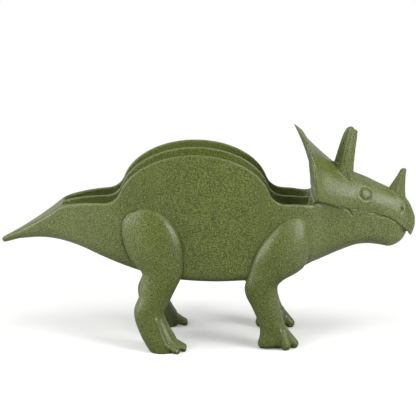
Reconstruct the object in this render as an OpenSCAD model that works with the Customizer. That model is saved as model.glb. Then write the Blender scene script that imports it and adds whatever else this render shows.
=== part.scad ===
// A holder for two tacos, moulded in one piece as a standing horned dinosaur.
// X runs from the tail to the beak, Y across the body and Z up, in millimetres.
// The soles stand on Z = 0, and the origin is on the floor below the middle of the length.
// Tables give the sculpted forms by a few rows, and smooth curves run through the rows.

/* [Body] */
// Width over the two outer side walls
body_w = 63; // [58:0.5:70]
// Height of the belly above the floor
belly_z = 45.4; // [40:0.2:54]
// Height from the belly to the low part of the rim
side_h = 54.8; // [48:0.2:62]
// Where the tail ends
tail_tip_x = -140.6; // [-155:0.2:-128]
// Where the lower jaw ends
jaw_tip_x = 134.4; // [131:0.2:136]

/* [Hump] */
// Middle of the raised part of the walls
hump_x = -9.2; // [-14:0.2:-4]
// Length of the raised part, before its foot curves
hump_l = 101.4; // [88:0.2:108]
// How far the walls rise above the low rim
hump_h = 33; // [20:0.5:42]
// Radius of the curves at the foot of the hump
hump_fillet = 12; // [4:0.5:14]

/* [Troughs] */
// Rear end of the two troughs
trough_rear_x = -98; // [-104:0.5:-92]
// Front end of the two troughs
trough_front_x = 69; // [66:0.5:70]
// Depth of the trough floor below the low rim
trough_depth = 20; // [10:0.5:30]
// Length of the rounded slope at each end of a trough
trough_slope_l = 15; // [8:0.5:20]
// Thickness of the side walls at the rim
wall = 3; // [2:0.1:5]
// Thickness of the wall between the troughs
divider_w = 3.4; // [2.4:0.1:6]
// Radius of the rounded rim
rim_r = 1.3; // [0.5:0.1:1.3]

/* [Hind legs] */
// Middle of the hind legs along the body
hind_x = -34; // [-38:0.5:-30]
// Distance across the body between the middles of the hind feet
hind_track = 57.5; // [52:0.5:60]
// Greatest length of a thigh along the body
thigh_l = 37.6; // [32:0.2:42]
// How far a thigh reaches up the side wall, from the belly
thigh_rise = 52; // [42:0.2:53]
// How far a thigh stands out from the plane that it grows from
thigh_bulge = 8.6; // [6:0.1:11]

/* [Front legs] */
// Middle of the front legs along the body
front_x = 44; // [40:0.5:48]
// Distance across the body between the middles of the front feet
front_track = 50; // [44:0.5:54]
// Greatest length of an upper arm along the body
upper_arm_l = 35.8; // [30:0.2:40]
// How far a shoulder reaches up the side wall, from the belly
shoulder_rise = 44.8; // [36:0.2:50]
// How far a shoulder stands out from the plane that it grows from
shoulder_bulge = 8.6; // [6:0.1:11]

/* [Feet] */
// Width of a hind foot across its toes
hind_foot_w = 15; // [12:0.2:18]
// Radius of the outer hind toe at its tip
hind_toe_r = 3; // [2.4:0.1:3.6]
// How far the hind toes reach past the leg's middle
hind_toe_reach = 19.4; // [16:0.1:23]
// Height of the hind toes' roots above the floor
hind_toe_root_z = 6.8; // [5:0.1:9]
// Width of a front foot across its toes
front_foot_w = 16; // [13:0.2:20]
// Radius of the outer front toe at its tip
front_toe_r = 3.4; // [2.6:0.1:4.2]
// How far the front toes reach past the leg's middle
front_toe_reach = 16.9; // [14:0.1:20]
// Height of the front toes' roots above the floor
front_toe_root_z = 11.5; // [9:0.1:14]

/* [Head] */
// Where the beak ends
beak_x = 140.3; // [137:0.1:146]
// Height of the beak's tip above the floor
beak_tip_z = 73.5; // [71:0.1:76]
// Length from the beak to the lower corner of the frill
skull_l = 69.8; // [66:0.2:72]
// Height from the beak's tip to the top of the frill
head_h = 76; // [70:0.5:84]
// Width across the frill
frill_w = 55; // [50:0.5:62]

/* [Horns] */
// Distance across the head between the roots of the brow horns
brow_horn_gap = 17; // [14:0.2:20]
// Distance across the head between the tips of the brow horns
brow_horn_tip_gap = 11; // [9:0.2:24]
// Height of a brow horn from its root inside the skull
brow_horn_h = 35; // [28:0.5:44]
// Radius of a brow horn at its root
brow_horn_r = 6; // [4.5:0.1:7]
// Turn of the pair of brow horns, seen from above, which sets the far one back
brow_horn_turn = 4; // [0:1:15]
// Height of the nose horn from its root inside the snout
nose_horn_h = 20.4; // [16:0.2:26]
// Radius of the nose horn at its root
nose_horn_r = 6.5; // [5:0.1:7]

/* [Eyes] */
// Radius of the raised disc of an eye
eye_r = 3.7; // [2.8:0.1:4.4]
// Width of the groove round an eye
eye_groove_w = 0.8; // [0.5:0.1:1.4]

/* [Hidden] */
plastic = [0.42, 0.46, 0.27];
rim_z = belly_z + side_h;
trough_floor_z = rim_z - trough_depth;
half_w = body_w / 2;

// Shape of the tail, body and neck, from the tail's tip to the jaw. Each row holds the place
// along its stretch, then the underside, the widest level and the top as shares of side_h above
// the belly, the half width as a share of half_w, the squareness below and the top edge's radius.
tail_rows = [
    [1, 0.428, 0.444, 0.46, 0.02, 2, 0.2],
    [0.976, 0.408, 0.443, 0.476, 0.055, 2, 0.8],
    [0.871, 0.425, 0.48, 0.517, 0.104, 2.1, 1.6],
    [0.72, 0.456, 0.531, 0.577, 0.168, 2.2, 2.2],
    [0.565, 0.471, 0.576, 0.647, 0.238, 2.3, 2.6],
    [0.405, 0.481, 0.624, 0.723, 0.312, 2.4, 2.8],
    [0.212, 0.477, 0.665, 0.822, 0.41, 2.6, 2.6]
];
body_rows = [
    [0, 0.454, 0.693, 0.932, 0.535, 2.9, 1.9],
    [0.071, 0.397, 0.654, 0.979, 0.7, 3.2, 1.4],
    [0.152, 0.302, 0.577, 1, 0.862, 3.6, 1.3],
    [0.233, 0.211, 0.472, 1, 0.95, 4, 1.3],
    [0.324, 0.122, 0.37, 1, 0.986, 4.5, 1.3],
    [0.405, 0.055, 0.297, 1, 0.998, 5, 1.3],
    [0.48, 0.022, 0.27, 1, 1, 5, 1.3],
    [0.609, 0, 0.258, 1, 1, 5, 1.3],
    [0.728, 0.012, 0.27, 1, 1, 5, 1.3],
    [0.81, 0.022, 0.29, 1, 0.992, 4.6, 1.3],
    [0.868, 0.04, 0.326, 0.998, 0.972, 4, 1.3],
    [0.925, 0.085, 0.391, 0.993, 0.925, 3.4, 1.3],
    [1, 0.189, 0.505, 0.991, 0.83, 2.8, 3]
];
neck_rows = [
    [0.06, 0.209, 0.538, 1.075, 0.745, 2.7, 9],
    [0.145, 0.243, 0.568, 1.187, 0.662, 2.5, 15],
    [0.302, 0.322, 0.594, 1.169, 0.592, 2.4, 14],
    [0.47, 0.394, 0.61, 1.075, 0.532, 2.4, 11],
    [0.597, 0.406, 0.606, 0.985, 0.467, 2.4, 9],
    [0.735, 0.385, 0.583, 0.887, 0.39, 2.5, 7],
    [0.825, 0.367, 0.55, 0.81, 0.34, 2.6, 5],
    [0.914, 0.407, 0.548, 0.717, 0.258, 2.5, 3.5],
    [0.97, 0.463, 0.554, 0.646, 0.155, 2.2, 1.6],
    [1, 0.527, 0.564, 0.599, 0.04, 2, 0.3]
];
// Shape of a leg, from the sole up. Each row holds the height as a share of the leg's height,
// the back and front edges beside the leg's middle as shares of its greatest length, how far the
// ring has come from the foot's middle to the side wall, and its depth outwards and inwards as
// shares of the bulge.
hind_rows = [
    [0, -0.152, 0.314, 0, 1.24, 0.87],
    [0.035, -0.207, 0.335, 0, 1.27, 0.95],
    [0.09, -0.285, 0.32, 0, 1.2, 1.02],
    [0.155, -0.356, 0.223, 0, 1.08, 1.08],
    [0.205, -0.399, 0.157, 0, 1.04, 1.04],
    [0.26, -0.423, 0.112, 0, 1.02, 1.02],
    [0.308, -0.41, 0.162, 0, 1.02, 1.02],
    [0.38, -0.335, 0.25, 0.05, 1.03, 1.04],
    [0.45, -0.309, 0.338, 0.15, 1.04, 1.06],
    [0.5, -0.282, 0.399, 0.3, 1.04, 1],
    [0.55, -0.277, 0.434, 0.45, 1.03, 0.9],
    [0.595, -0.359, 0.441, 0.65, 1.01, 0.65],
    [0.635, -0.441, 0.436, 0.85, 1, 0.45],
    [0.69, -0.521, 0.426, 1, 0.98, 0.28],
    [0.76, -0.585, 0.415, 1, 0.94, 0.16],
    [0.835, -0.614, 0.346, 1, 0.85, 0.11],
    [0.895, -0.609, 0.25, 1, 0.71, 0.09],
    [0.935, -0.564, 0.16, 1, 0.58, 0.08],
    [0.966, -0.484, 0.056, 1, 0.45, 0.06],
    [0.988, -0.388, -0.053, 1, 0.32, 0.05],
    [1, -0.279, -0.16, 1, 0.2, 0.04]
];
front_rows = [
    [0, -0.26, 0.2, 0, 0.2, 0.3],
    [0.03, -0.302, 0.26, 0, 0.7, 0.75],
    [0.1, -0.265, 0.274, 0, 0.85, 0.9],
    [0.165, -0.268, 0.227, 0, 0.88, 0.95],
    [0.237, -0.327, 0.159, 0, 0.9, 0.93],
    [0.336, -0.436, 0.106, 0.08, 0.95, 0.95],
    [0.39, -0.508, 0.074, 0.16, 0.96, 0.96],
    [0.447, -0.553, 0.065, 0.26, 0.98, 0.97],
    [0.497, -0.547, 0.076, 0.38, 1, 0.93],
    [0.545, -0.508, 0.201, 0.5, 1.01, 0.85],
    [0.596, -0.464, 0.436, 0.65, 1.02, 0.7],
    [0.64, -0.43, 0.556, 0.78, 1, 0.5],
    [0.685, -0.394, 0.606, 0.9, 0.98, 0.35],
    [0.74, -0.335, 0.64, 1, 0.95, 0.2],
    [0.8, -0.257, 0.659, 1, 0.9, 0.1],
    [0.86, -0.151, 0.654, 1, 0.8, 0.07],
    [0.915, -0.025, 0.626, 1, 0.64, 0.05],
    [0.958, 0.095, 0.581, 1, 0.46, 0.05],
    [0.985, 0.184, 0.525, 1, 0.31, 0.05],
    [1, 0.268, 0.441, 1, 0.18, 0.04]
];
// Fullness of a leg's rings, and of the rear and front edges of the part that the wall holds
leg_fullness = 0.88;
hind_edges = [1.1, 0.55];
front_edges = [0.7, 0.85];
// Where the toes' roots lie, as a share of their reach, and their radius beside a toe's
toe_root_share = 0.34;
toe_root_r = 1.2;
// Toes of a foot, from the inner to the outer one. Each row holds the place across the foot as a
// share of its width, then the reach and the radius as shares of the foot's own.
hind_toes = [[-0.08, 1, 0.73], [0.287, 0.99, 0.68], [0.547, 0.8, 1]];
front_toes = [[-0.34, 0.6, 0.9], [-0.06, 1, 1], [0.25, 0.68, 1]];
// How far the low roof of the snout drops to its edges, the crest that levels it, and how much of
// an arch's slant comes near its crown
low_roof_drop = 0.24;
full_crest = 0.06;
crown_sweep = 0.72;
// Shape of the skull and frill, from the beak back to the frill's rim and its rear face. Each row
// holds the foot of a slanting arch and its crown, both as shares of skull_l behind the beak and
// of head_h above the beak's tip, then the half width as a share of the frill's, and how far the
// top is filled out from a low roof to a level crest.
skull_rows = [
    [0, 0.085, 0, 0.162, 0.055, 0],
    [0.021, 0.036, 0.021, 0.216, 0.12, 0],
    [0.045, 0.002, 0.045, 0.266, 0.19, 0],
    [0.076, 0.030, 0.077, 0.314, 0.24, 0],
    [0.117, 0.064, 0.120, 0.358, 0.295, 0],
    [0.183, 0.113, 0.183, 0.393, 0.356, 0],
    [0.268, 0.171, 0.268, 0.430, 0.415, 0],
    [0.388, 0.216, 0.388, 0.480, 0.495, 0],
    [0.484, 0.240, 0.484, 0.524, 0.553, 0],
    [0.606, 0.262, 0.606, 0.569, 0.630, 0],
    [0.720, 0.284, 0.749, 0.628, 0.720, 0.02],
    [0.821, 0.314, 0.878, 0.708, 0.811, 0.045],
    [0.907, 0.345, 1.007, 0.810, 0.902, 0.06],
    [0.940, 0.356, 1.077, 0.879, 0.950, 0.045],
    [0.967, 0.363, 1.133, 0.957, 0.985, 0.02],
    [1, 0.376, 1.192, 1, 1, 0],
    [0.990, 0.395, 1.150, 0.922, 0.927, 0],
    [0.978, 0.402, 1.086, 0.783, 0.727, 0],
    [0.971, 0.402, 1.021, 0.599, 0.364, 0]
];

// Slope of a table at one of its rows, from the rows on both sides
function slope(rows, i) =
    let (a = rows[max(i - 1, 0)], b = rows[min(i + 1, len(rows) - 1)])
    (b - a) / (b[0] - a[0]);

function row_before(rows, x, i = 0) =
    i >= len(rows) - 2 || rows[i + 1][0] > x ? i : row_before(rows, x, i + 1);

// Smooth curve through all columns of a table, taken at x in its first column
function along(rows, x) =
    let (
        i = row_before(rows, x),
        step = rows[i + 1][0] - rows[i][0],
        t = (x - rows[i][0]) / step
    )
    rows[i] * (1 + 2 * t) * (1 - t) * (1 - t) + rows[i + 1] * t * t * (3 - 2 * t)
        + slope(rows, i) * step * t * (1 - t) * (1 - t)
        - slope(rows, i + 1) * step * t * t * (1 - t);

function mean(points) = [for (p = points) 1] * points / len(points);

function mix(a, b, t) = a + (b - a) * t;

// Closed skin over rings that run round the direction in which they are stacked
module skin(rings) {
    n = len(rings[0]);
    last = (len(rings) - 1) * n;
    points = concat([for (ring = rings) each ring], [mean(rings[0]), mean(rings[len(rings) - 1])]);
    sides = [
        for (j = [0:n:last - n], i = [0:n - 1])
            let (k = (i + 1) % n)
            each [[j + i, j + n + k, j + k], [j + i, j + n + i, j + n + k]]
    ];
    ends = [
        for (i = [0:n - 1])
            let (k = (i + 1) % n)
            each [[i, k, last + n], [last + k, last + i, last + n + 1]]
    ];
    polyhedron(points, concat(sides, ends));
}

// Angle on the hump's ellipse at which its foot curve touches it
function touch_angle(low = 0, high = 80, tries = 24) =
    let (
        a = (low + high) / 2,
        normal = [hump_h * cos(a), hump_l / 2 * sin(a)],
        over = hump_h * sin(a) + hump_fillet * normal[1] / norm(normal) - hump_fillet
    )
    tries == 0 ? a : over > 0 ? touch_angle(low, a, tries - 1) : touch_angle(a, high, tries - 1);

touch_a = touch_angle();
touch_normal = [hump_h * cos(touch_a), hump_l / 2 * sin(touch_a)];
touch_u = hump_l / 2 * cos(touch_a);
foot_u = touch_u + hump_fillet * touch_normal[0] / norm(touch_normal);

// Rise of the wall above the low rim, at a distance from the hump's middle
function hump_rise(u) =
    u < touch_u ? hump_h * sqrt(1 - pow(2 * u / hump_l, 2))
    : u < foot_u ? hump_fillet - sqrt(pow(hump_fillet, 2) - pow(foot_u - u, 2))
    : 0;

// Share of the full trough depth at x: it rounds up to nothing at both ends
function trough_share(x) =
    let (t = min(1, max(0, min(x - trough_rear_x, trough_front_x - x) / trough_slope_l)))
    sqrt(1 - (1 - t) * (1 - t));

function in_body(row, x) =
    [x, for (k = [1:3]) belly_z + side_h * row[k], half_w * row[4], row[5], row[6]];

trunk_rows = concat(
    [for (row = tail_rows) in_body(row, mix(trough_rear_x, tail_tip_x, row[0]))],
    [for (row = body_rows) in_body(row, mix(trough_rear_x, trough_front_x, row[0]))],
    [for (row = neck_rows) in_body(row, mix(trough_front_x, jaw_tip_x, row[0]))]
);

// Half of the trunk's section at x as Y and Z, from the keel over the rim to the top of the divider
function trunk_half(x) =
    let (
        s = along(trunk_rows, x),
        low = s[1],
        wide = s[2],
        top = s[3] + hump_rise(abs(x - hump_x)),
        w = s[4],
        square = 2 / s[5],
        edge = min(s[6], w / 2, (top - wide) * 0.8),
        lip = min(rim_r, w / 10),
        outer = w - max(min(wall, 0.3 * w), edge + 1.25 * lip),
        inner = min(divider_w / 2, 0.3 * outer),
        depth = trough_share(x) * (top - trough_floor_z),
        lip_drop = min(lip, depth / 4),
        draft = (outer - inner) / 60,
        bowl = (outer - inner) / 2 - draft,
        bowl_drop = min(bowl, depth / 2),
        divider_lip = 0.45 * inner
    )
    concat(
        [for (a = [0:18:90]) [w * pow(sin(a), square), wide - (wide - low) * pow(cos(a), square)]],
        [for (a = [0:30:90]) [w - edge * (1 - cos(a)), top - edge * (1 - sin(a))]],
        [for (a = [0:45:90]) [outer + lip * (1 - sin(a)), top - lip_drop * (1 - cos(a))]],
        [
            for (a = [0:30:180])
                [(outer + inner) / 2 + bowl * cos(a), top - depth + bowl_drop * (1 - sin(a))]
        ],
        [for (a = [90, 30]) [inner - divider_lip * (1 - sin(a)), top - lip_drop * (1 - cos(a))]],
        [[0, top]]
    );

// Whole ring at x: one half and its mirror image, which share the keel and the top
function trunk_ring(x) =
    let (half = trunk_half(x))
    [
        for (p = half) [x, p[0], p[1]],
        for (i = [len(half) - 2:-1:1]) [x, -half[i][0], half[i][1]]
    ];

// Places of the rings, closer where the outline turns
trunk_places = concat(
    [for (row = tail_rows) mix(trough_rear_x, tail_tip_x, row[0])],
    [for (t = [0, 0.04, 0.12, 0.25, 0.45, 0.7, 1]) trough_rear_x + trough_slope_l * t],
    [for (t = [1:3]) mix(trough_rear_x + trough_slope_l, hump_x - foot_u, t / 3)],
    [for (t = [0.3, 0.6, 0.85]) mix(hump_x - foot_u, hump_x - touch_u, t)],
    [for (a = [180 - touch_a:-(180 - 2 * touch_a) / 16:touch_a - 0.01]) hump_x + hump_l / 2 * cos(a)],
    [for (t = [0.15, 0.4, 0.7]) mix(hump_x + touch_u, hump_x + foot_u, t)],
    [for (t = [0:1]) mix(hump_x + foot_u, trough_front_x - trough_slope_l, t / 2)],
    [for (t = [1, 0.7, 0.45, 0.25, 0.12, 0.04, 0]) trough_front_x - trough_slope_l * t],
    [for (row = neck_rows) mix(trough_front_x, jaw_tip_x, row[0])]
);

module trunk() skin([for (x = trunk_places) trunk_ring(x)]);

// Ring of a leg at one row, on the +Y side of the body. Where it is held by the side wall, it
// follows the wall's own line in plan, and its rear and front edges get their own fullness.
function leg_ring(row, x, track, height, length, bulge, edges) =
    let (
        middle = x + length * (row[1] + row[2]) / 2,
        half_l = length * (row[2] - row[1]) / 2
    )
    [
        for (a = [0:22.5:359])
            let (
                full = mix(leg_fullness, edges[cos(a) > 0 ? 1 : 0], row[3]),
                at_x = middle + half_l * sign(cos(a)) * pow(abs(cos(a)), full),
                in_wall = along(trunk_rows, at_x)[4] - wall / 2,
                depth = bulge * (sin(a) > 0 ? row[4] : -row[5])
            )
            [
                at_x,
                mix(track / 2, in_wall, row[3]) + depth * pow(abs(sin(a)), full),
                height * row[0]
            ]
    ];

module leg(rows, x, track, height, length, bulge, edges) {
    skin([for (row = rows) leg_ring(row, x, track, height, length, bulge, edges)]);
}

// Toes that spread from roots inside the foot and are pressed flat on the floor at their tips
module toes(rows, x, track, width, reach, r, root_z) {
    for (row = rows)
        hull() {
            tip_r = r * row[2];
            translate([x + toe_root_share * reach, track / 2 + width * row[0] / 2, root_z])
                sphere(r = toe_root_r * r, $fn = 12);
            translate([x + reach * row[1] - tip_r, track / 2 + width * row[0], 0.85 * tip_r])
                sphere(r = tip_r, $fn = 12);
        }
}

module hind_leg() {
    leg(hind_rows, hind_x, hind_track, belly_z + thigh_rise, thigh_l, thigh_bulge, hind_edges);
    toes(hind_toes, hind_x, hind_track, hind_foot_w, hind_toe_reach, hind_toe_r, hind_toe_root_z);
}

module front_leg() {
    leg(
        front_rows, front_x, front_track, belly_z + shoulder_rise, upper_arm_l, shoulder_bulge,
        front_edges
    );
    toes(
        front_toes, front_x, front_track, front_foot_w, front_toe_reach, front_toe_r,
        front_toe_root_z
    );
}

// One slanting arch of the head, from the middle of its foot over the crown and back. Most of
// its slant comes near the crown, so the frill sweeps back at the top.
function skull_ring(row) =
    let (
        foot = [beak_x - skull_l * row[0], beak_tip_z + head_h * row[1]],
        crown = [beak_x - skull_l * row[2], beak_tip_z + head_h * row[3]],
        w = frill_w / 2 * row[4],
        crest = row[5],
        roof_drop = low_roof_drop * (1 - crest / full_crest),
        half = concat(
            [[0, 0], [0.5, 0], [0.95, 0], [0.985, 0.015], [1, 0.05], [1, 0.11]],
            [
                for (a = [15:15:90])
                    let (across = pow(cos(a), 0.95))
                    [across, min(1 - roof_drop * across, 0.11 + (0.89 + crest) * pow(sin(a), 0.95))]
            ]
        ),
        whole = [for (p = half) p, for (i = [len(half) - 2:-1:1]) [-half[i][0], half[i][1]]]
    )
    [
        for (p = whole)
            let (lean = mix(p[1], pow(p[1], 4), crown_sweep))
            [mix(foot[0], crown[0], lean), w * p[0], mix(foot[1], crown[1], p[1])]
    ];

module skull_and_frill() skin([for (i = [len(skull_rows) - 1:-1:0]) skull_ring(skull_rows[i])]);

// Rows of a horn: the height as a share, the bend forwards as a share of the height, the lean, and
// the radius and the stretch backwards as shares of the root's radius
brow_horn_rows = [
    [0, 0, 0, 1, 0.7],
    [0.28, 0.02, 0.15, 0.9, 0.12],
    [0.6, 0.07, 0.45, 0.77, 0],
    [0.85, 0.125, 0.75, 0.62, 0],
    [0.95, 0.155, 0.92, 0.49, 0],
    [1, 0.17, 1, 0.2, 0]
];
nose_horn_rows = [
    [0, 0, 0, 1, 0.5],
    [0.3, 0.039, 0, 0.8, 0.28],
    [0.6, 0.108, 0, 0.57, 0.1],
    [0.85, 0.176, 0, 0.41, 0],
    [0.95, 0.202, 0, 0.33, 0],
    [1, 0.216, 0, 0.12, 0]
];

// Rounded horn that bends forwards, from a root inside the skull
module horn(rows, height, radius, lean) {
    skin([
        for (row = rows)
            [
                for (a = [0:30:330])
                    let (r = radius * row[3], stretch = radius * row[4] * min(0, cos(a)))
                    [
                        height * row[1] + r * cos(a) + stretch,
                        lean * row[2] + r * sin(a),
                        height * row[0]
                    ]
            ]
    ]);
}

module brow_horn(side) {
    root_x = beak_x - 0.708 * skull_l - side * brow_horn_gap / 2 * sin(brow_horn_turn);
    lean = side * (brow_horn_tip_gap - brow_horn_gap) / 2;
    translate([root_x, side * brow_horn_gap / 2, beak_tip_z + head_h / 2])
        horn(brow_horn_rows, brow_horn_h, brow_horn_r, lean);
}

module nose_horn() {
    translate([beak_x - 0.183 * skull_l, 0, beak_tip_z + 0.33 * head_h])
        horn(nose_horn_rows, nose_horn_h, nose_horn_r, 0);
}

// Puts what is drawn round Z on the cheek at one side, facing out
module at_eye(side) {
    face_tilt = 66;
    face_turn = 20;
    translate([beak_x - 0.504 * skull_l, side * 0.238 * frill_w, beak_tip_z + 0.399 * head_h])
        rotate([-side * face_tilt, 0, -side * face_turn])
            children();
}

module eye_groove() {
    rotate_extrude($fn = 24)
        translate([eye_r + eye_groove_w / 2, 0])
            hull()
                for (out = [0, 3 * eye_groove_w]) translate([0, out]) circle(d = eye_groove_w, $fn = 8);
}

module eye_disc() scale([1, 1, 0.3]) sphere(r = eye_r, $fn = 20);

module horned_head() {
    difference() {
        skull_and_frill();
        for (side = [-1, 1]) at_eye(side) eye_groove();
    }
    for (side = [-1, 1]) {
        at_eye(side) eye_disc();
        brow_horn(side);
    }
    nose_horn();
}

module taco_holder() {
    below_floor = 20;
    color(plastic)
        difference() {
            union() {
                trunk();
                horned_head();
                for (side = [0, 1])
                    mirror([0, side, 0]) {
                        hind_leg();
                        front_leg();
                    }
            }
            translate([tail_tip_x, -body_w, -below_floor])
                cube([beak_x - tail_tip_x, 2 * body_w, below_floor]);
        }
}

taco_holder();
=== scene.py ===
import bpy
import bmesh
import math
import numpy as np
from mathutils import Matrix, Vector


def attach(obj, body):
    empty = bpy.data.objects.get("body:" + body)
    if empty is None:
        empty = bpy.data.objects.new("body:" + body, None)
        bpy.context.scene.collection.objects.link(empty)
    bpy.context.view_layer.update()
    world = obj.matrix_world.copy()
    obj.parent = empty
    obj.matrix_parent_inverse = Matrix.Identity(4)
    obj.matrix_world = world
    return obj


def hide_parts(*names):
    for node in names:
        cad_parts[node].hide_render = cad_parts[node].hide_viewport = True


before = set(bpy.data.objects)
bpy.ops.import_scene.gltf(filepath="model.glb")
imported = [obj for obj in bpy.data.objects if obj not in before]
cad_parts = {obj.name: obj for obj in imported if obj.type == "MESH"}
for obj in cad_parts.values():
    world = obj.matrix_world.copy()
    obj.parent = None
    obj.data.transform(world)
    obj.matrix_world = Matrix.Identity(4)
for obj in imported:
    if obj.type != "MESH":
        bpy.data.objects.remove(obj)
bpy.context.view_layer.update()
mm = 0.001
print("frame loaded")


def mix(a, b, t):
    return a + (b - a) * t


def tableSlopes(rows):
    after = np.vstack([rows[1:], rows[-1:]])
    before = np.vstack([rows[:1], rows[:-1]])
    return (after - before) / (after[:, :1] - before[:, :1])


def along(rows, places):  # smooth curve through all columns of a table, by its first column
    rows = np.asarray(rows, float)
    places = np.atleast_1d(np.asarray(places, float))
    i = np.clip(np.searchsorted(rows[:, 0], places, side="right") - 1, 0, len(rows) - 2)
    step = rows[i + 1, :1] - rows[i, :1]
    t = (places[:, None] - rows[i, :1]) / step
    slopes = tableSlopes(rows)
    return (rows[i] * (1 + 2 * t) * (1 - t) ** 2 + rows[i + 1] * t * t * (3 - 2 * t)
            + slopes[i] * step * t * (1 - t) ** 2 - slopes[i + 1] * step * t * t * (1 - t))


def throughRows(rows, steps):  # the same curve, with even steps from row to row
    numbered = [[i, *row] for i, row in enumerate(rows)]
    return along(numbered, np.linspace(0, len(rows) - 1, (len(rows) - 1) * steps + 1))[:, 1:]


def signedPower(value, power):
    return np.sign(value) * np.abs(value) ** power


class Clay:  # closed skins, gathered to be fused into one moulding
    def __init__(self):
        self.points = []
        self.faces = []

    def addRings(self, rings):
        rings = np.asarray(rings, float)
        count, around = rings.shape[:2]
        first = len(self.points)
        self.points.extend(rings.reshape(-1, 3).tolist())
        self.points.extend([rings[0].mean(0).tolist(), rings[-1].mean(0).tolist()])
        last = first + (count - 1) * around
        middle = first + count * around
        for i in range(around):
            k = (i + 1) % around
            for j in range(first, last, around):
                self.faces.append((j + i, j + k, j + around + k, j + around + i))
            self.faces.append((first + k, first + i, middle))
            self.faces.append((last + i, last + k, middle + 1))


clay = Clay()

# Tail, body and neck in one sweep. A row holds the place along its stretch, the underside, the
# widest level and the top as shares of sideH above the belly, the half width as a share, the
# squareness of the underside and the radius of the top edge.
trunk = {
    "bellyZ": 45.4, "sideH": 54.8, "halfW": 31.5, "tailTipX": -140.6, "jawTipX": 134.4,
    "humpX": -9.2, "humpL": 101.4, "humpH": 33, "humpFillet": 12,
    "troughRearX": -98, "troughFrontX": 69, "troughDepth": 20, "troughSlopeL": 15,
    "wall": 3, "dividerW": 3.4, "rimR": 1.3,
    "tailRows": [
        [1, 0.428, 0.444, 0.46, 0.02, 2, 0.2],
        [0.976, 0.408, 0.443, 0.476, 0.055, 2, 0.8],
        [0.871, 0.425, 0.48, 0.517, 0.104, 2.1, 1.6],
        [0.72, 0.456, 0.531, 0.577, 0.168, 2.2, 2.2],
        [0.565, 0.471, 0.576, 0.647, 0.238, 2.3, 2.6],
        [0.405, 0.481, 0.624, 0.723, 0.312, 2.4, 2.8],
        [0.212, 0.477, 0.665, 0.822, 0.41, 2.6, 2.6],
    ],
    "bodyRows": [
        [0, 0.454, 0.693, 0.932, 0.535, 2.9, 1.9],
        [0.071, 0.397, 0.654, 0.979, 0.7, 3.2, 1.4],
        [0.152, 0.302, 0.577, 1, 0.862, 3.6, 1.3],
        [0.233, 0.211, 0.472, 1, 0.95, 4, 1.3],
        [0.324, 0.122, 0.37, 1, 0.986, 4.5, 1.3],
        [0.405, 0.055, 0.297, 1, 0.998, 5, 1.3],
        [0.48, 0.022, 0.27, 1, 1, 5, 1.3],
        [0.609, 0, 0.258, 1, 1, 5, 1.3],
        [0.728, 0.012, 0.27, 1, 1, 5, 1.3],
        [0.81, 0.022, 0.29, 1, 0.992, 4.6, 1.3],
        [0.868, 0.04, 0.326, 0.998, 0.972, 4, 1.3],
        [0.925, 0.085, 0.391, 0.993, 0.925, 3.4, 1.3],
        [1, 0.189, 0.505, 0.991, 0.83, 2.8, 3],
    ],
    "neckRows": [
        [0.06, 0.209, 0.538, 1.075, 0.745, 2.7, 9],
        [0.145, 0.243, 0.568, 1.187, 0.662, 2.5, 15],
        [0.302, 0.322, 0.594, 1.169, 0.592, 2.4, 14],
        [0.47, 0.394, 0.61, 1.075, 0.532, 2.4, 11],
        [0.597, 0.406, 0.606, 0.985, 0.467, 2.4, 9],
        [0.735, 0.385, 0.583, 0.887, 0.39, 2.5, 7],
        [0.825, 0.367, 0.55, 0.81, 0.34, 2.6, 5],
        [0.914, 0.407, 0.548, 0.717, 0.258, 2.5, 3.5],
        [0.97, 0.463, 0.554, 0.646, 0.155, 2.2, 1.6],
        [1, 0.527, 0.564, 0.599, 0.04, 2, 0.3],
    ],
    "stationStep": 1.1, "endSteps": [0.05, 0.3, 0.6],
    "lipShare": 0.1, "lipsOver": 1.25, "thinShare": 0.3, "edgeShare": 0.8, "dividerLipShare": 0.45,
    "archPoints": 30, "sidePoints": 14, "edgePoints": 10, "dividerPoints": 6, "dividerEndTurn": 15,
}
rimZ = trunk["bellyZ"] + trunk["sideH"]


def trunkTable():
    table = []
    for rows, start, end in (
        (trunk["tailRows"], trunk["troughRearX"], trunk["tailTipX"]),
        (trunk["bodyRows"], trunk["troughRearX"], trunk["troughFrontX"]),
        (trunk["neckRows"], trunk["troughFrontX"], trunk["jawTipX"]),
    ):
        for share, low, wide, top, width, square, edge in rows:
            levels = [trunk["bellyZ"] + trunk["sideH"] * level for level in (low, wide, top)]
            table.append([mix(start, end, share), *levels, trunk["halfW"] * width, square, edge])
    return np.array(table)


trunkRows = trunkTable()


def humpTouch():  # angle on the hump's ellipse at which the curve at its foot touches it
    low, high = 0.0, math.radians(80)  # the angle lies between these, and halving finds it
    fillet = trunk["humpFillet"]
    for _ in range(30):
        a = (low + high) / 2
        normal = np.array([trunk["humpH"] * math.cos(a), trunk["humpL"] / 2 * math.sin(a)])
        over = trunk["humpH"] * math.sin(a) + fillet * normal[1] / np.hypot(*normal) - fillet
        low, high = (low, a) if over > 0 else (a, high)
    return trunk["humpL"] / 2 * math.cos(a), fillet * normal[0] / np.hypot(*normal)


touchU, footRun = humpTouch()
footU = touchU + footRun


def humpRise(u):
    if u < touchU:
        return trunk["humpH"] * math.sqrt(1 - (2 * u / trunk["humpL"]) ** 2)
    if u < footU:
        return trunk["humpFillet"] - math.sqrt(trunk["humpFillet"] ** 2 - (footU - u) ** 2)
    return 0.0


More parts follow.
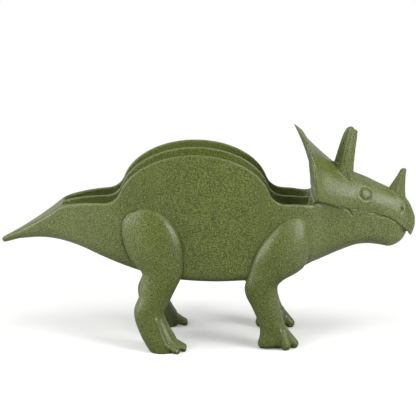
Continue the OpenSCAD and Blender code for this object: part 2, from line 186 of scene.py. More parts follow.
def trunkRing(x):  # the cross section at x, from the keel around the wall's rim to the divider
    _, low, wide, top, w, square, edge = along(trunkRows, x)[0]
    top += humpRise(abs(x - trunk["humpX"]))
    edge = min(edge, w / 2, (top - wide) * trunk["edgeShare"])
    lip = min(trunk["rimR"], w * trunk["lipShare"])
    outer = w - max(min(trunk["wall"], trunk["thinShare"] * w), edge + trunk["lipsOver"] * lip)
    inner = min(trunk["dividerW"] / 2, trunk["thinShare"] * outer)
    fromEnd = min(x - trunk["troughRearX"], trunk["troughFrontX"] - x) / trunk["troughSlopeL"]
    share = math.sqrt(1 - (1 - min(1, max(0, fromEnd))) ** 2)
    depth = share * (top - rimZ + trunk["troughDepth"])
    lipDrop = min(lip, depth / 4)  # at the shallow ends the lip and the bowl flatten with the depth
    arch, sides = trunk["archPoints"], trunk["sidePoints"]
    bowl = (outer - inner) / 2 * (1 - 1 / arch)
    bowlDrop = min(bowl, depth / 2)
    dividerLip = trunk["dividerLipShare"] * inner
    a = np.radians(np.linspace(0, 90, arch))
    half = [np.c_[w * np.sin(a) ** (2 / square), wide - (wide - low) * np.cos(a) ** (2 / square)]]
    wallSteps = np.linspace(0, 1, sides)[1:-1]
    half.append(np.c_[np.full(sides - 2, w), mix(wide, top - edge, wallSteps)])
    a = np.radians(np.linspace(0, 90, trunk["edgePoints"]))
    half.append(np.c_[w - edge * (1 - np.cos(a)), top - edge * (1 - np.sin(a))])
    half.append(np.c_[outer + lip * (1 - np.sin(a)), top - lipDrop * (1 - np.cos(a))])
    a = np.radians(np.linspace(0, 180, arch))
    bowlZ = top - depth + bowlDrop * (1 - np.sin(a))
    half.append(np.c_[(outer + inner) / 2 + bowl * np.cos(a), bowlZ])
    a = np.radians(np.linspace(90, trunk["dividerEndTurn"], trunk["dividerPoints"]))
    half.append(np.c_[inner - dividerLip * (1 - np.sin(a)), top - lipDrop * (1 - np.cos(a))])
    half = np.vstack([*half, [[0, top]]])
    other = half[-2:0:-1] * [-1, 1]
    ring = np.vstack([half, other])
    return np.c_[np.full(len(ring), x), ring]


stations = np.arange(trunk["tailTipX"], trunk["jawTipX"], trunk["stationStep"])
troughEnds = [trunk["troughRearX"] + step for step in trunk["endSteps"]]
troughEnds += [trunk["troughFrontX"] - step for step in trunk["endSteps"]]
stations = np.unique(np.r_[stations, troughEnds, trunk["jawTipX"]])
clay.addRings([trunkRing(x) for x in stations])
print("trunk swept")

# Legs, from the sole up. A row holds the height as a share, the back and front edges beside the
# leg's middle as shares of its greatest length, the way from the foot's middle to the side wall,
# and the depths out and in as shares of the bulge. A toe has its place across the foot, its reach
# and its radius as shares.
legs = {
    "hind": {
        "x": -34, "track": 57.5, "height": 97.4, "length": 37.6, "bulge": 8.6,
        "rearEdge": 1.1, "frontEdge": 0.55,
        "rows": [
            [0, -0.152, 0.314, 0, 1.24, 0.87],
            [0.035, -0.207, 0.335, 0, 1.27, 0.95],
            [0.09, -0.285, 0.32, 0, 1.2, 1.02],
            [0.155, -0.356, 0.223, 0, 1.08, 1.08],
            [0.205, -0.399, 0.157, 0, 1.04, 1.04],
            [0.26, -0.423, 0.112, 0, 1.02, 1.02],
            [0.308, -0.41, 0.162, 0, 1.02, 1.02],
            [0.38, -0.335, 0.25, 0.05, 1.03, 1.04],
            [0.45, -0.309, 0.338, 0.15, 1.04, 1.06],
            [0.5, -0.282, 0.399, 0.3, 1.04, 1],
            [0.55, -0.277, 0.434, 0.45, 1.03, 0.9],
            [0.595, -0.359, 0.441, 0.65, 1.01, 0.65],
            [0.635, -0.441, 0.436, 0.85, 1, 0.45],
            [0.69, -0.521, 0.426, 1, 0.98, 0.28],
            [0.76, -0.585, 0.415, 1, 0.94, 0.16],
            [0.835, -0.614, 0.346, 1, 0.85, 0.11],
            [0.895, -0.609, 0.25, 1, 0.71, 0.09],
            [0.935, -0.564, 0.16, 1, 0.58, 0.08],
            [0.966, -0.484, 0.056, 1, 0.45, 0.06],
            [0.988, -0.388, -0.053, 1, 0.32, 0.05],
            [1, -0.279, -0.16, 1, 0.2, 0.04],
        ],
        "footW": 15, "toeR": 3, "toeReach": 19.4, "toeRootZ": 6.8,
        "toes": [[-0.08, 1, 0.73], [0.287, 0.99, 0.68], [0.547, 0.8, 1]],
    },
    "front": {
        "x": 44, "track": 50, "height": 90.2, "length": 35.8, "bulge": 8.6,
        "rearEdge": 0.7, "frontEdge": 0.85,
        "rows": [
            [0, -0.26, 0.2, 0, 0.2, 0.3],
            [0.03, -0.302, 0.26, 0, 0.7, 0.75],
            [0.1, -0.265, 0.274, 0, 0.85, 0.9],
            [0.165, -0.268, 0.227, 0, 0.88, 0.95],
            [0.237, -0.327, 0.159, 0, 0.9, 0.93],
            [0.336, -0.436, 0.106, 0.08, 0.95, 0.95],
            [0.39, -0.508, 0.074, 0.16, 0.96, 0.96],
            [0.447, -0.553, 0.065, 0.26, 0.98, 0.97],
            [0.497, -0.547, 0.076, 0.38, 1, 0.93],
            [0.545, -0.508, 0.201, 0.5, 1.01, 0.85],
            [0.596, -0.464, 0.436, 0.65, 1.02, 0.7],
            [0.64, -0.43, 0.556, 0.78, 1, 0.5],
            [0.685, -0.394, 0.606, 0.9, 0.98, 0.35],
            [0.74, -0.335, 0.64, 1, 0.95, 0.2],
            [0.8, -0.257, 0.659, 1, 0.9, 0.1],
            [0.86, -0.151, 0.654, 1, 0.8, 0.07],
            [0.915, -0.025, 0.626, 1, 0.64, 0.05],
            [0.958, 0.095, 0.581, 1, 0.46, 0.05],
            [0.985, 0.184, 0.525, 1, 0.31, 0.05],
            [1, 0.268, 0.441, 1, 0.18, 0.04],
        ],
        "footW": 16, "toeR": 3.4, "toeReach": 16.9, "toeRootZ": 11.5,
        "toes": [[-0.34, 0.6, 0.9], [-0.06, 1, 1], [0.25, 0.68, 1]],
    },
    "fullness": 0.88, "toeRootShare": 0.34, "toeRootR": 1.2, "toeRootAcross": 0.5, "toeTipZ": 0.85,
    "rings": 90, "degreesApart": 6, "toeDegreesApart": 12, "toeRootRings": 9, "toeTipRings": 12,
    "toePole": 0.1,  # angle at which a toe's end is closed, in radians
}


def legRings(leg, side):
    rings = []
    a = np.radians(np.arange(0, 360, legs["degreesApart"]))
    edges = np.where(np.cos(a) > 0, leg["frontEdge"], leg["rearEdge"])
    levels = np.linspace(0, 1, legs["rings"])
    for share, back, front, held, out, inward in along(leg["rows"], levels):
        full = mix(legs["fullness"], edges, held)
        reach = (back + front) / 2 + (front - back) / 2 * signedPower(np.cos(a), full)
        x = leg["x"] + leg["length"] * reach
        inWall = along(trunkRows, x)[:, 4] - trunk["wall"] / 2
        depth = leg["bulge"] * np.where(np.sin(a) > 0, out, -inward)
        y = mix(leg["track"] / 2, inWall, held) + depth * np.abs(np.sin(a)) ** full
        rings.append(np.c_[x, side * y, np.full(len(a), share * leg["height"])])
    return rings


def toeRings(tip, root, tipR, rootR):  # round ends on both balls and a straight taper between
    tip, root = np.array(tip), np.array(root)
    length = np.linalg.norm(tip - root)
    ahead = (tip - root) / length
    across = np.cross(ahead, [0, 0, 1])
    across /= np.linalg.norm(across)
    up = np.cross(across, ahead)
    lean = math.asin((rootR - tipR) / length)
    touch = math.pi / 2 - lean  # angle at which the taper touches both balls
    rootAngles = np.linspace(math.pi - legs["toePole"], touch, legs["toeRootRings"])
    tipAngles = np.linspace(touch, legs["toePole"], legs["toeTipRings"])
    stops = [(rootR * math.cos(a), rootR * math.sin(a)) for a in rootAngles]
    stops += [(length + tipR * math.cos(a), tipR * math.sin(a)) for a in tipAngles]
    a = np.radians(np.arange(0, 360, legs["toeDegreesApart"]))[:, None]
    return [root + ahead * at + r * (across * np.cos(a) + up * np.sin(a)) for at, r in stops]


for leg in (legs["hind"], legs["front"]):
    for side in (-1, 1):
        clay.addRings(legRings(leg, side))
        for across, reach, share in leg["toes"]:
            r = leg["toeR"] * share
            tipY = leg["track"] / 2 + leg["footW"] * across
            rootY = leg["track"] / 2 + legs["toeRootAcross"] * leg["footW"] * across
            tip = [leg["x"] + leg["toeReach"] * reach - r, side * tipY, legs["toeTipZ"] * r]
            rootX = leg["x"] + leg["toeReach"] * legs["toeRootShare"]
            root = [rootX, side * rootY, leg["toeRootZ"]]
            clay.addRings(toeRings(tip, root, r, legs["toeRootR"] * leg["toeR"]))
print("legs and toes swept")

# Skull and frill as slanting arches, from the beak back to the frill's rim and its rear face. A
# row holds the foot and the crown of an arch as shares of length and height, its half width, and
# how far the top is filled out from a low roof to a level crest.
head = {
    "beakX": 140.3, "beakTipZ": 73.5, "skullL": 69.8, "headH": 76, "frillW": 55,
    "rows": [
        [0, 0.085, 0, 0.162, 0.055, 0],
        [0.021, 0.036, 0.021, 0.216, 0.12, 0],
        [0.045, 0.002, 0.045, 0.266, 0.19, 0],
        [0.076, 0.030, 0.077, 0.314, 0.24, 0],
        [0.117, 0.064, 0.120, 0.358, 0.295, 0],
        [0.183, 0.113, 0.183, 0.393, 0.356, 0],
        [0.268, 0.171, 0.268, 0.430, 0.415, 0],
        [0.388, 0.216, 0.388, 0.480, 0.495, 0],
        [0.484, 0.240, 0.484, 0.524, 0.553, 0],
        [0.606, 0.262, 0.606, 0.569, 0.630, 0],
        [0.720, 0.284, 0.749, 0.628, 0.720, 0.02],
        [0.821, 0.314, 0.878, 0.708, 0.811, 0.045],
        [0.907, 0.345, 1.007, 0.810, 0.902, 0.06],
        [0.940, 0.356, 1.077, 0.879, 0.950, 0.045],
        [0.967, 0.363, 1.133, 0.957, 0.985, 0.02],
        [1, 0.376, 1.192, 1, 1, 0],
    ],
    "rearRows": [
        [1, 0.376, 1.192, 1, 1, 0],
        [0.990, 0.395, 1.150, 0.922, 0.927, 0],
        [0.978, 0.402, 1.086, 0.783, 0.727, 0],
        [0.971, 0.402, 1.021, 0.599, 0.364, 0],
    ],
    "crownSweep": 0.72, "sweepPower": 4, "roofDrop": 0.24, "fullCrest": 0.06,
    "archPower": 0.95, "sideH": 0.11, "archPoints": 60, "stepsPerRow": 6, "rearStepsPerRow": 5,
    "base": [  # half of the underside, with its turn up into the side, as shares of an arch
        [0, 0], [0.25, 0], [0.5, 0], [0.7, 0], [0.87, 0], [0.95, 0],
        [0.985, 0.015], [1, 0.05], [1, 0.11],
    ],
}


def skullRing(row):
    footX, footZ, crownX, crownZ, width, crest = row
    foot = [head["beakX"] - head["skullL"] * footX, head["beakTipZ"] + head["headH"] * footZ]
    crown = [head["beakX"] - head["skullL"] * crownX, head["beakTipZ"] + head["headH"] * crownZ]
    a = np.radians(np.linspace(0, 90, head["archPoints"])[1:])
    across, rise = np.cos(a).clip(0) ** head["archPower"], np.sin(a) ** head["archPower"]
    roof = 1 - head["roofDrop"] * (1 - crest / head["fullCrest"]) * across
    arch = np.c_[across, np.minimum(roof, head["sideH"] + (1 - head["sideH"] + crest) * rise)]
    half = np.vstack([head["base"], arch])
    whole = np.vstack([half, half[-2:0:-1] * [-1, 1]])
    lean = mix(whole[:, 1], whole[:, 1] ** head["sweepPower"], head["crownSweep"])
    y = head["frillW"] / 2 * width * whole[:, 0]
    return np.c_[mix(foot[0], crown[0], lean), y, mix(foot[1], crown[1], whole[:, 1])]


outerRows = throughRows(head["rows"], head["stepsPerRow"])
rearRows = throughRows(head["rearRows"], head["rearStepsPerRow"])[1:]
clay.addRings([skullRing(row) for row in np.vstack([outerRows, rearRows])])

# Horns: a row holds the height as a share, the bend forwards as a share of the height, the lean,
# and the radius and the stretch backwards as shares of the root's radius
horns = {
    "browX": 0.708, "browRootZ": 0.5, "browH": 35, "browR": 6,
    "browGap": 17, "browTipGap": 11, "browTurn": 4,
    "browRows": [
        [0, 0, 0, 1, 0.7],
        [0.28, 0.02, 0.15, 0.9, 0.12],
        [0.6, 0.07, 0.45, 0.77, 0],
        [0.85, 0.125, 0.75, 0.62, 0],
        [0.95, 0.155, 0.92, 0.49, 0],
        [0.985, 0.166, 0.98, 0.33, 0],
        [1, 0.17, 1, 0.06, 0],
    ],
    "noseX": 0.183, "noseRootZ": 0.33, "noseH": 20.4, "noseR": 6.5,
    "noseRows": [
        [0, 0, 0, 1, 0.5],
        [0.3, 0.039, 0, 0.8, 0.28],
        [0.6, 0.108, 0, 0.57, 0.1],
        [0.85, 0.176, 0, 0.41, 0],
        [0.95, 0.202, 0, 0.33, 0],
        [0.985, 0.208, 0, 0.22, 0],
        [1, 0.216, 0, 0.04, 0],
    ],
    "ridges": 6, "ridgeDepth": 0.26, "ridgeTurn": 0.9, "rings": 60, "degreesApart": 7.5,
}


def hornRings(root, rows, height, radius, lean):
    rings = []
    a = np.radians(np.arange(0, 360, horns["degreesApart"]))
    ridge = 1 - horns["ridgeDepth"] * np.abs(np.sin(horns["ridges"] / 2 * a + horns["ridgeTurn"]))
    for share, ahead, leaning, thick, stretch in along(rows, np.linspace(0, 1, horns["rings"])):
        r = radius * thick * ridge
        back = radius * stretch * np.minimum(0, np.cos(a))
        x = root[0] + height * ahead + r * np.cos(a) + back
        y = root[1] + leaning * lean + r * np.sin(a)
        rings.append(np.c_[x, y, np.full(len(a), root[2] + share * height)])
    return rings


for side in (-1, 1):
    back = side * horns["browGap"] / 2 * math.sin(math.radians(horns["browTurn"]))
    rootX = head["beakX"] - horns["browX"] * head["skullL"] - back
    rootZ = head["beakTipZ"] + head["headH"] * horns["browRootZ"]
    root = (rootX, side * horns["browGap"] / 2, rootZ)
    lean = side * (horns["browTipGap"] - horns["browGap"]) / 2
    clay.addRings(hornRings(root, horns["browRows"], horns["browH"], horns["browR"], lean))
noseRootX = head["beakX"] - horns["noseX"] * head["skullL"]
noseRoot = (noseRootX, 0, head["beakTipZ"] + horns["noseRootZ"] * head["headH"])
clay.addRings(hornRings(noseRoot, horns["noseRows"], horns["noseH"], horns["noseR"], 0))
print("head and horns swept")

# The skins are fused into one moulding, and its creases softened as a mould leaves them
moulding = {
    "grid": 0.5, "softenRounds": 2, "softenShare": 0.5, "softenBack": 0.9, "mostTriangles": 190000,
}


def newMesh(name, points, faces):
    mesh = bpy.data.meshes.new(name)
    mesh.from_pydata([tuple(p) for p in points], [], faces)
    mesh.validate()
    mesh.update()
    return mesh


def applied(obj):  # the object's mesh with its modifiers applied, which then come off
    graph = bpy.context.evaluated_depsgraph_get()
    mesh = bpy.data.meshes.new_from_object(obj.evaluated_get(graph))
    obj.modifiers.clear()
    obj.data = mesh
    return mesh


def meshPoints(mesh):
    points = np.empty(len(mesh.vertices) * 3)
    mesh.vertices.foreach_get("co", points)
    return points.reshape(-1, 3)


def setMeshPoints(mesh, points):
    mesh.vertices.foreach_set("co", np.asarray(points).ravel())
    mesh.update()


def meshNormals(mesh):
    normals = np.empty(len(mesh.vertices) * 3)
    mesh.vertices.foreach_get("normal", normals)
    return normals.reshape(-1, 3)


def soften(mesh):  # each point moves towards its neighbours, then most of the way back
    ends = np.empty(len(mesh.edges) * 2, dtype=np.int64)
    mesh.edges.foreach_get("vertices", ends)
    a, b = ends.reshape(-1, 2).T
    points = meshPoints(mesh)
    count = np.bincount(np.r_[a, b], minlength=len(points)).clip(1)[:, None]
    share = moulding["softenShare"]
    for step in [share, -share * moulding["softenBack"]] * moulding["softenRounds"]:
        total = np.stack([
            np.bincount(a, points[b, k], len(points)) + np.bincount(b, points[a, k], len(points))
            for k in range(3)
        ], axis=1)
        points = points + step * (total / count - points)
    setMeshPoints(mesh, points)


bodyMesh = newMesh("mouldedBody", np.array(clay.points) * mm, clay.faces)
body = bpy.data.objects.new("mouldedBody", bodyMesh)
bpy.context.scene.collection.objects.link(body)
fuse = body.modifiers.new("fuse", "REMESH")
fuse.mode = "VOXEL"
fuse.voxel_size = moulding["grid"] * mm
applied(body)
print("fused:", len(body.data.vertices), "points")
soften(body.data)
print("creases softened")

# Small forms pressed into the surface or raised from it: eyes, nostrils, the line of the mouth,
# the line inside the frill's rim, and the strips down the outer sides of the feet. A line holds
# its points as X and Z, its half width, its depth (a ridge where less than nothing) and the least
# distance from the middle plane at which it acts.
details = {
    "eye": {
        "at": (105.2, 13.6, 104.1), "facing": (0.312, 0.858, 0.407), "r": 3.5, "rise": 0.55,
        "grooveOut": 0.35, "grooveW": 0.42, "grooveDepth": 0.65,
        "lidR": 5.9, "lidW": 0.8, "lidRise": 0.16,
        "reach": 8, "depthReach": 6, "leastFacing": 0.3,
    },
    "nostril": {
        "at": (130.7, 7.4, 92.2), "slant": (0.2, 0.98), "long": 1.7, "wide": 0.85, "depth": 1.2,
        "reach": 5,
    },
    "mouthLines": [
        [[(91, 95.2), (95.5, 94.5), (99.5, 94.2)], 0.5, 0.5, 1.5],
        [[(108, 91.1), (111.5, 90.6)], 0.45, 0.35, 1.5],
        [[(113.4, 89.4), (117.8, 88.1), (122.5, 86.3), (126.4, 83.6), (130.5, 80.0), (135, 76.2)],
         0.55, 1.0, 1.5],
        [[(87.9, 96.8), (90, 95.7), (92.7, 94.2), (94.6, 92.4), (95.8, 90.4)], 0.7, 0.8, 1.5],
    ],
    "frillLines": [
        [[(63.5, 140.6), (65.5, 133.9), (67.7, 129.7), (70, 123), (70.8, 113), (71.1, 105.8),
          (72.2, 102.2)], 0.5, 0.45, 5],
    ],
    "footLines": [
        [[(-35.2, 22.5), (-28.6, 6.1), (-20.8, 1)], 1.5, -0.8, 30],
        [[(-32.6, 22.5), (-26, 6.5), (-18.6, 1.4)], 1.2, 0.5, 30],
        [[(39, 9.9), (39, 1.7)], 1.4, -0.6, 26],
        [[(48.6, 13), (51.2, 1.7)], 1.5, -0.7, 26],
        [[(43.9, 12.5), (45.4, 1.7)], 1.6, 0.6, 26],
    ],
    "fineAreas": [  # where the mesh is made finer before the details are pressed: place and reach
        [(105.2, 13.6, 104.1), 6.5], [(130.7, 7.4, 92.2), 3.2], [(95, 18, 94), 8],
        [(110, 13, 91), 3.5], [(115, 12, 89), 3.5], [(119, 11.5, 88), 3.5],
        [(123, 10.5, 86), 3.5], [(127, 9.5, 83.5), 3.5], [(131, 7.5, 80), 3.5],
    ],
}

# A crisp rim around each thigh and shoulder, with the parting groove just outside it. A leg has the
# shares of its height at which the rim starts behind and ends in front.
rims = {
    "legs": [[legs["hind"], 0.62, 0.49], [legs["front"], 0.53, 0.62]],
    "ridgeIn": 0.55, "ridgeRise": 0.3, "grooveOut": 0.4, "grooveDepth": 0.4, "w": 0.45,
    "leastY": 29, "fineY": 32, "fineReach": 4.5, "rearPoints": 14, "frontPoints": 16,
}


def legEdge(leg, rearFrom, frontTo, out):  # a leg's outline against the wall, over its top
    back = along(leg["rows"], np.linspace(rearFrom, 1, rims["rearPoints"]))[:, [1, 0]]
    fore = along(leg["rows"], np.linspace(1, frontTo, rims["frontPoints"]))[:, [2, 0]]
    path = np.vstack([back, fore]) * [leg["length"], leg["height"]] + [leg["x"], 0]
    way = np.gradient(path, axis=0)
    way /= np.linalg.norm(way, axis=1)[:, None]
    return path + out * np.c_[-way[:, 1], way[:, 0]]


detailLines = details["mouthLines"] + details["frillLines"] + details["footLines"]
fineAreas = list(details["fineAreas"])
for leg, rearFrom, frontTo in rims["legs"]:
    ridge = legEdge(leg, rearFrom, frontTo, -rims["ridgeIn"])
    groove = legEdge(leg, rearFrom, frontTo, rims["grooveOut"])
    detailLines.append([ridge, rims["w"], -rims["ridgeRise"], rims["leastY"]])
    detailLines.append([groove, rims["w"], rims["grooveDepth"], rims["leastY"]])
    for x, z in legEdge(leg, rearFrom, frontTo, 0)[::2]:
        fineAreas.append([(x, rims["fineY"], z), rims["fineReach"]])


def refineNear(mesh, areas):  # every edge inside an area, or its mirror image, is split
    work = bmesh.new()
    work.from_mesh(mesh)
    points = meshPoints(mesh) / mm
    near = np.zeros(len(points), bool)
    for centre, reach in areas:
        for side in (-1, 1):
            near |= np.linalg.norm(points - np.array(centre) * [1, side, 1], axis=1) < reach
    work.verts.ensure_lookup_table()
    edges = [e for e in work.edges if near[e.verts[0].index] and near[e.verts[1].index]]
    bmesh.ops.subdivide_edges(work, edges=edges, cuts=1, use_grid_fill=True)
    work.to_mesh(mesh)
    work.free()
    mesh.update()


def lineDistance(xz, line):  # from each point to the nearest stretch of the line
    best = np.full(len(xz), 1e9)
    for start, end in zip(line[:-1], line[1:]):
        start, end = np.array(start), np.array(end)
        t = ((xz - start) @ (end - start) / ((end - start) @ (end - start))).clip(0, 1)
        best = np.minimum(best, np.linalg.norm(xz - start - t[:, None] * (end - start), axis=1))
    return best


def pressDetails(mesh):
    points = meshPoints(mesh) / mm
    normals = meshNormals(mesh)
    moved = points.copy()
    eye, nostril = details["eye"], details["nostril"]
    for side in (-1, 1):
        flip = np.array([1, side, 1])
        facing = np.array(eye["facing"]) * flip
        facing /= np.linalg.norm(facing)
        away = points - np.array(eye["at"]) * flip
        out = away @ facing
        rho = np.linalg.norm(away - out[:, None] * facing, axis=1)
        near = (rho < eye["reach"]) & (np.abs(out) < eye["depthReach"])
        near &= normals @ facing > eye["leastFacing"]
        disc = eye["rise"] * np.sqrt((1 - (rho / eye["r"]) ** 2).clip(0))
        grooveR = eye["r"] + eye["grooveOut"]
        groove = eye["grooveDepth"] * np.exp(-((rho - grooveR) / eye["grooveW"]) ** 2)
        lid = eye["lidRise"] * np.exp(-((rho - eye["lidR"]) / eye["lidW"]) ** 2)
        moved[near] += (facing * (disc + lid - groove)[:, None])[near]
        away = points - np.array(nostril["at"]) * flip
        slant = np.array(nostril["slant"])
        lengthwise = away[:, [0, 2]] @ slant / nostril["long"]
        crosswise = away[:, [0, 2]] @ np.array([slant[1], -slant[0]]) / nostril["wide"]
        near = np.linalg.norm(away, axis=1) < nostril["reach"]
        dent = nostril["depth"] * np.exp(-lengthwise ** 2 - crosswise ** 2)
        moved[near] -= (normals * dent[:, None])[near]
    for line, w, depth, leastY in detailLines:
        rho = lineDistance(points[:, [0, 2]], line)
        press = depth * np.exp(-(rho / w) ** 2) * (np.abs(points[:, 1]) > leastY)
        moved -= normals * press[:, None]
    moved[:, 2] = moved[:, 2].clip(0)  # nothing reaches below the floor
    setMeshPoints(mesh, moved * mm)


refineNear(body.data, fineAreas)
pressDetails(body.data)
body.data.calc_loop_triangles()
thin = body.modifiers.new("thin", "DECIMATE")
thin.ratio = min(1, moulding["mostTriangles"] / len(body.data.loop_triangles))
applied(body)
body.data.shade_smooth()
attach(body, "root")
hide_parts("taco_holder")
body.data.calc_loop_triangles()
print("details pressed:", len(body.data.loop_triangles), "triangles")


def fromHex(text):  # sRGB hex to the linear colour that the shader wants
    channels = [int(text[i:i + 2], 16) / 255 for i in (1, 3, 5)]
    return (*[c / 12.92 if c <= 0.04045 else ((c + 0.055) / 1.055) ** 2.4 for c in channels], 1)


def addNode(tree, kind, settings=None, inputs=None, links=None):
    node = tree.nodes.new(kind)
    for name, value in (settings or {}).items():
        setattr(node, name, value)
    for name, value in (inputs or {}).items():
        node.inputs[name].default_value = value
    for name, source in (links or {}).items():
        tree.links.new(source, node.inputs[name])
    return node


# Coloured polypropylene, injection moulded in a spark-textured mould: a soft, broad sheen over a
# fine grain, with the colour a little uneven where the grain holds more or less light.
plastic = {
    "deep": "#354213", "plain": "#525e26", "pale": "#7d8747",
    "deepAt": 0.44, "plainAt": 0.5, "paleAt": 0.56, "ior": 1.54, "roughness": 0.28,
    "grainMm": 0.46, "grainDetail": 2.5, "grainRoughness": 0.6, "bumpStrength": 0.75, "bumpMm": 0.2,
    "flowMm": 22, "flowDetail": 3.0, "flowFrom": 0.3, "flowTo": 0.7, "unevenness": 0.06,
}


def mouldedPolypropylene():
    material = bpy.data.materials.new("mouldedPolypropylene")
    material.use_nodes = True
    tree = material.node_tree
    tree.nodes.clear()
    place = addNode(tree, "ShaderNodeTexCoord").outputs["Object"]
    # a spark-textured grain of about 0.3 mm would be lost at this picture size, so it is drawn
    # near 0.5 mm
    grain = addNode(tree, "ShaderNodeTexNoise", links={"Vector": place}, inputs={
        "Scale": 1 / (plastic["grainMm"] * mm),
        "Detail": plastic["grainDetail"],
        "Roughness": plastic["grainRoughness"],
    })
    flow = addNode(tree, "ShaderNodeTexNoise", links={"Vector": place}, inputs={
        "Scale": 1 / (plastic["flowMm"] * mm),
        "Detail": plastic["flowDetail"],
    })
    shade = addNode(tree, "ShaderNodeValToRGB", links={"Fac": grain.outputs["Fac"]})
    ramp = shade.color_ramp
    ramp.elements[0].position, ramp.elements[0].color = plastic["deepAt"], fromHex(plastic["deep"])
    ramp.elements[1].position, ramp.elements[1].color = plastic["paleAt"], fromHex(plastic["pale"])
    ramp.elements.new(plastic["plainAt"]).color = fromHex(plastic["plain"])
    evenness = addNode(tree, "ShaderNodeMapRange", links={"Value": flow.outputs["Fac"]}, inputs={
        "From Min": plastic["flowFrom"],
        "From Max": plastic["flowTo"],
        "To Min": 1 - plastic["unevenness"],
        "To Max": 1 + plastic["unevenness"],
    })
    tone = addNode(tree, "ShaderNodeVectorMath", {"operation": "SCALE"}, links={
        "Vector": shade.outputs["Color"],
        "Scale": evenness.outputs["Result"],
    })
    bump = addNode(tree, "ShaderNodeBump", links={"Height": grain.outputs["Fac"]}, inputs={
        "Strength": plastic["bumpStrength"],
        "Distance": plastic["bumpMm"] * mm,
    })
    surface = addNode(
        tree, "ShaderNodeBsdfPrincipled",
        inputs={"Roughness": plastic["roughness"], "IOR": plastic["ior"]},
        links={"Base Color": tone.outputs["Vector"], "Normal": bump.outputs["Normal"]},
    )
    addNode(tree, "ShaderNodeOutputMaterial", links={"Surface": surface.outputs["BSDF"]})
    return material


body.data.materials.clear()
body.data.materials.append(mouldedPolypropylene())
print("material made")

# Pale floor that turns into the white background, with the object's shadow kept on it. The board
# itself throws light from both sides, and little from a darker strip under the camera: that strip
# is painted shade for the dim camera side of the room, seen only in the light thrown onto the
# object.
studio = {
    "floorReach": 6, "floorShown": "#fcfcfb", "floorGlow": 0.15, "fadeFrom": 0.22, "fadeTo": 0.42,
    # the strip's tone is painted shade, seen only in the light the board throws onto the object
    "shadeStripTone": 0.28, "sidesTone": 0.72, "stripTo": 0.05, "sidesFrom": 0.2,
    "roomLight": 0.0, "backdropLight": 0.67, "backdropFrom": -0.2, "backdropFull": 0.7,
    "lampSize": 0.6, "lampDistance": 1.4, "lampAimZ": 0.09,
    "lamps": {  # azimuth, elevation and level
        "frontLeft": [-41, 22, 0.31], "left": [-80, 15, 0.48], "highLeft": [-60, 50, 0.21],
        "right": [54, 22, 0.59], "highRight": [60, 56, 0.33], "top": [-5, 64, 0.09],
    },
}
white = (1, 1, 1, 1)
reach = studio["floorReach"]
corners = [(-reach, -reach, 0), (reach, -reach, 0), (reach, reach, 0), (-reach, reach, 0)]
floorMesh = newMesh("floor", corners, [(0, 1, 2, 3)])
floor = bpy.data.objects.new("floor", floorMesh)
bpy.context.scene.collection.objects.link(floor)


# Board rolled with flat white paint, which scatters light evenly: no highlight, only soft shadow.
# The light it throws carries a strip of painted shade down its middle, under the camera.
def paintedBoard():
    material = bpy.data.materials.new("paintedBoard")
    material.use_nodes = True
    tree = material.node_tree
    tree.nodes.clear()
    smooth = {"interpolation_type": "SMOOTHSTEP"}
    place = addNode(tree, "ShaderNodeTexCoord").outputs["Object"]
    split = addNode(tree, "ShaderNodeSeparateXYZ", links={"Vector": place})
    across = addNode(tree, "ShaderNodeMath", {"operation": "ABSOLUTE"}, links={
        "Value": split.outputs["X"],
    })
    # the light thrown onto the object: pale from the sides, with painted shade in the strip under
    # the camera
    tone = addNode(tree, "ShaderNodeMapRange", smooth, {
        "From Min": studio["stripTo"],
        "From Max": studio["sidesFrom"],
        "To Min": studio["shadeStripTone"],
        "To Max": studio["sidesTone"],
    }, {"Value": across.outputs["Value"]})
    bounceWithShadeStrip = addNode(tree, "ShaderNodeBsdfDiffuse", links={"Color": tone.outputs["Result"]})
    # the camera sees an evenly bright board that fades to white away from the object
    shown = addNode(tree, "ShaderNodeBsdfDiffuse", inputs={"Color": fromHex(studio["floorShown"])})
    glow = addNode(tree, "ShaderNodeEmission", inputs={
        "Color": white,
        "Strength": studio["floorGlow"],
    })
    lit = addNode(tree, "ShaderNodeAddShader", links={0: shown.outputs[0], 1: glow.outputs[0]})
    away = addNode(tree, "ShaderNodeVectorMath", {"operation": "LENGTH"}, links={"Vector": place})
    fade = addNode(tree, "ShaderNodeMapRange", smooth, {
        "From Min": studio["fadeFrom"],
        "From Max": studio["fadeTo"],
    }, {"Value": away.outputs["Value"]})
    backdrop = addNode(tree, "ShaderNodeEmission", inputs={"Color": white, "Strength": 1.0})
    seen = addNode(tree, "ShaderNodeMixShader", links={
        0: fade.outputs["Result"],
        1: lit.outputs[0],
        2: backdrop.outputs[0],
    })
    surface = addNode(tree, "ShaderNodeMixShader", links={
        0: addNode(tree, "ShaderNodeLightPath").outputs["Is Camera Ray"],
        1: bounceWithShadeStrip.outputs[0],
        2: seen.outputs[0],
    })
    addNode(tree, "ShaderNodeOutputMaterial", links={"Surface": surface.outputs[0]})
    return material


floorMesh.materials.append(paintedBoard())

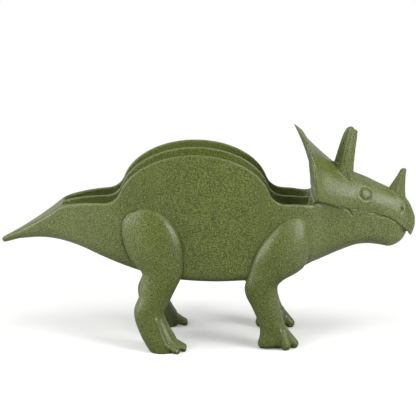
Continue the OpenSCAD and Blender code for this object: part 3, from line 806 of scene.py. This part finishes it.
# the room is dim on the camera's side, and the lit backdrop glows behind the object
world = bpy.data.worlds.new("studio")
bpy.context.scene.world = world
world.use_nodes = True
room = world.node_tree
room.nodes.clear()
facing = addNode(room, "ShaderNodeTexCoord").outputs["Generated"]
split = addNode(room, "ShaderNodeSeparateXYZ", links={"Vector": facing})
glow = addNode(room, "ShaderNodeMapRange", {"interpolation_type": "SMOOTHSTEP"}, {
    "From Min": studio["backdropFrom"],
    "From Max": studio["backdropFull"],
    "To Min": studio["roomLight"],
    "To Max": studio["backdropLight"],
}, {"Value": split.outputs["Y"]})
ambient = addNode(room, "ShaderNodeBackground", inputs={"Color": white}, links={
    "Strength": glow.outputs["Result"],
})
backdrop = addNode(room, "ShaderNodeBackground", inputs={"Color": white, "Strength": 1.0})
seen = addNode(room, "ShaderNodeMixShader", links={
    0: addNode(room, "ShaderNodeLightPath").outputs["Is Camera Ray"],
    1: ambient.outputs[0],
    2: backdrop.outputs[0],
})
addNode(room, "ShaderNodeOutputWorld", links={"Surface": seen.outputs[0]})


# at level 1 a surface that faces the lamp renders as written
def addLamp(name, azimuth, elevation, level):
    lamp = bpy.data.lights.new(name, "AREA")
    lamp.size = studio["lampSize"]
    lamp.energy = level * (math.pi * studio["lampDistance"]) ** 2
    holder = bpy.data.objects.new(name, lamp)
    turn, rise = math.radians(azimuth), math.radians(elevation)
    flat = math.cos(rise)
    aim = Vector((math.sin(turn) * flat, -math.cos(turn) * flat, math.sin(rise)))
    holder.location = Vector((0, 0, studio["lampAimZ"])) + aim * studio["lampDistance"]
    holder.rotation_euler = (-aim).to_track_quat("-Z", "Y").to_euler()
    bpy.context.scene.collection.objects.link(holder)


for name, facts in studio["lamps"].items():
    addLamp(name, *facts)

# Camera: straight at the side, a little above, from about a metre
camera = {
    "aimZ": 0.0913, "distance": 1.05, "elevation": 12.5, "sensorMm": 36,
    "focalPixels": 1546, "pictureWidth": 416, "shiftPixels": 0.5,
}
lens = bpy.data.cameras.new("camera")
lens.sensor_fit = "HORIZONTAL"
lens.sensor_width = camera["sensorMm"]
lens.lens = camera["focalPixels"] / camera["pictureWidth"] * camera["sensorMm"]
lens.shift_x = -camera["shiftPixels"] / camera["pictureWidth"]
viewer = bpy.data.objects.new("camera", lens)
tilt = math.radians(camera["elevation"])
height = camera["aimZ"] + camera["distance"] * math.sin(tilt)
viewer.location = (0, -camera["distance"] * math.cos(tilt), height)
viewer.rotation_euler = (math.pi / 2 - tilt, 0, 0)
bpy.context.scene.collection.objects.link(viewer)
bpy.context.scene.camera = viewer
bpy.context.scene.view_settings.view_transform = "Standard"
print("studio set")
